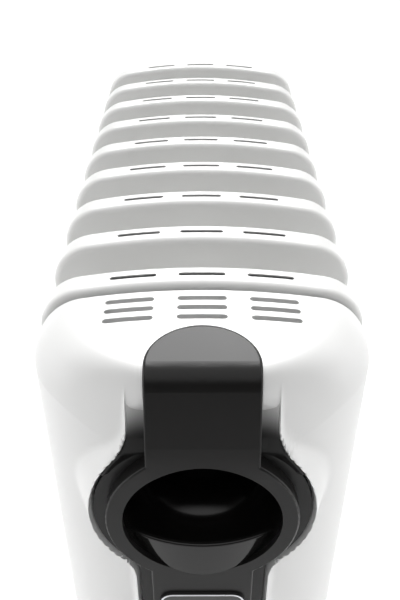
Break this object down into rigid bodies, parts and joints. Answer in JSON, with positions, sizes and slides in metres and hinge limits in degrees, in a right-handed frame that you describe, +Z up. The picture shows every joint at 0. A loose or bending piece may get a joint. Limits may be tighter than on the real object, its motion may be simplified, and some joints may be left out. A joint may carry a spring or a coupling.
{
  "type": "oil filled radiator heater",
  "caption": "White finned oil filled radiator with a nosed front cover, dark keyhole panel with a grip bowl, thermostat knob, rocker switches, cord winder and castor feet.",
  "frame": {"origin": "on the floor, under the middle of the heater's bounding box", "axes": "+Z up, -Y towards the control end with the black panel, the fins stacked along Y, X across the fins"},
  "size_m": [0.236, 0.4466, 0.6403],
  "materials": {
    "white_paint": "smooth white stoved enamel, softly glossy",
    "white_plastic": "smooth white moulded plastic, softly glossy",
    "panel_black": "fine satin charcoal moulding",
    "gloss_black": "polished black moulding",
    "plate_black": "blank dark badge with a raised rim",
    "knob_black": "satin black moulding",
    "rocker_amber": "translucent amber rocker",
    "lens_amber": "translucent amber lens",
    "dark_plastic": "fine-grained dark grey moulding",
    "wheel_grey": "hard grey tread, slightly scuffed",
    "zinc_steel": "bright zinc plating",
    "element_sheath": "drawn steel sheath, oil darkened",
    "gasket_rubber": "flat black fibre and rubber",
    "terminal_white": "off-white moulding",
    "wire_sleeve": "silicone sleeved wire"
  },
  "bodies": {
    "heater": {"bulkhead": "zinc_steel", "cable_gland": "dark_plastic", "cover_screws": "zinc_steel", "element_flange": "zinc_steel", "element_gasket": "gasket_rubber", "fin_1": "white_paint", "fin_2": "white_paint", "fin_3": "white_paint", "fin_4": "white_paint", "fin_5": "white_paint", "fin_6": "white_paint", "fin_7": "white_paint", "fin_8": "white_paint", "fin_9": "white_paint", "foot_bar_front": "dark_plastic", "foot_bar_rear": "dark_plastic", "front_cover": "white_plastic", "grip_cup": "gloss_black", "grip_lip": "gloss_black", "header_plugs": "white_paint", "heating_element_left": "element_sheath", "heating_element_right": "element_sheath", "indicator_lens": "lens_amber", "low_header_collars": "white_paint", "mounting_studs": "zinc_steel", "name_plate": "plate_black", "stud_nuts": "zinc_steel", "stud_spacers": "zinc_steel", "switch_body": "dark_plastic", "terminal_block": "terminal_white", "thermal_cutout": "zinc_steel", "thermostat_body": "dark_plastic", "top_header_collars": "white_paint", "trim_panel": "panel_black", "u_bolt_front": "zinc_steel", "u_bolt_rear": "zinc_steel", "winder_flange": "knob_black", "winder_post": "knob_black", "wing_nuts_front": "zinc_steel", "wing_nuts_rear": "zinc_steel", "wiring_harness": "wire_sleeve"},
    "castor_front_left": {"castor_fork_front_left": "dark_plastic", "castor_axle_front_left": "zinc_steel"},
    "wheel_front_left": {"castor_wheel_front_left": "wheel_grey"},
    "castor_front_right": {"castor_fork_front_right": "dark_plastic", "castor_axle_front_right": "zinc_steel"},
    "wheel_front_right": {"castor_wheel_front_right": "wheel_grey"},
    "castor_rear_left": {"castor_fork_rear_left": "dark_plastic", "castor_axle_rear_left": "zinc_steel"},
    "wheel_rear_left": {"castor_wheel_rear_left": "wheel_grey"},
    "castor_rear_right": {"castor_fork_rear_right": "dark_plastic", "castor_axle_rear_right": "zinc_steel"},
    "wheel_rear_right": {"castor_wheel_rear_right": "wheel_grey"},
    "thermostat_control": {"thermostat_knob": "knob_black", "thermostat_spindle": "zinc_steel"},
    "upper_switch": {"rocker_upper": "rocker_amber"},
    "lower_switch": {"rocker_lower": "rocker_amber"}
  },
  "joints": [
    {"name": "swivel_front_left", "type": "hinge", "parent": "heater", "child": "castor_front_left", "pos_m": [-0.096, -0.09775, 0.052], "axis": [0, 0, 1], "continuous": true},
    {"name": "roll_front_left", "type": "hinge", "parent": "castor_front_left", "child": "wheel_front_left", "pos_m": [-0.096, -0.08375, 0.02], "axis": [1, 0, 0], "continuous": true},
    {"name": "swivel_front_right", "type": "hinge", "parent": "heater", "child": "castor_front_right", "pos_m": [0.096, -0.09775, 0.052], "axis": [0, 0, 1], "continuous": true},
    {"name": "roll_front_right", "type": "hinge", "parent": "castor_front_right", "child": "wheel_front_right", "pos_m": [0.096, -0.08375, 0.02], "axis": [1, 0, 0], "continuous": true},
    {"name": "swivel_rear_left", "type": "hinge", "parent": "heater", "child": "castor_rear_left", "pos_m": [-0.096, 0.18925, 0.052], "axis": [0, 0, 1], "continuous": true},
    {"name": "roll_rear_left", "type": "hinge", "parent": "castor_rear_left", "child": "wheel_rear_left", "pos_m": [-0.096, 0.20325, 0.02], "axis": [1, 0, 0], "continuous": true},
    {"name": "swivel_rear_right", "type": "hinge", "parent": "heater", "child": "castor_rear_right", "pos_m": [0.096, 0.18925, 0.052], "axis": [0, 0, 1], "continuous": true},
    {"name": "roll_rear_right", "type": "hinge", "parent": "castor_rear_right", "child": "wheel_rear_right", "pos_m": [0.096, 0.20325, 0.02], "axis": [1, 0, 0], "continuous": true},
    {"name": "thermostat_turn", "type": "hinge", "parent": "heater", "child": "thermostat_control", "pos_m": [0, -0.20425, 0.395], "axis": [0, 1, 0], "range_deg": [0, 270]},
    {"name": "upper_switch_press", "type": "hinge", "parent": "heater", "child": "upper_switch", "pos_m": [0, -0.19825, 0.334], "axis": [-1, 0, 0], "range_deg": [0, 16]},
    {"name": "lower_switch_press", "type": "hinge", "parent": "heater", "child": "lower_switch", "pos_m": [0, -0.19825, 0.298], "axis": [-1, 0, 0], "range_deg": [0, 16]}
  ]
}
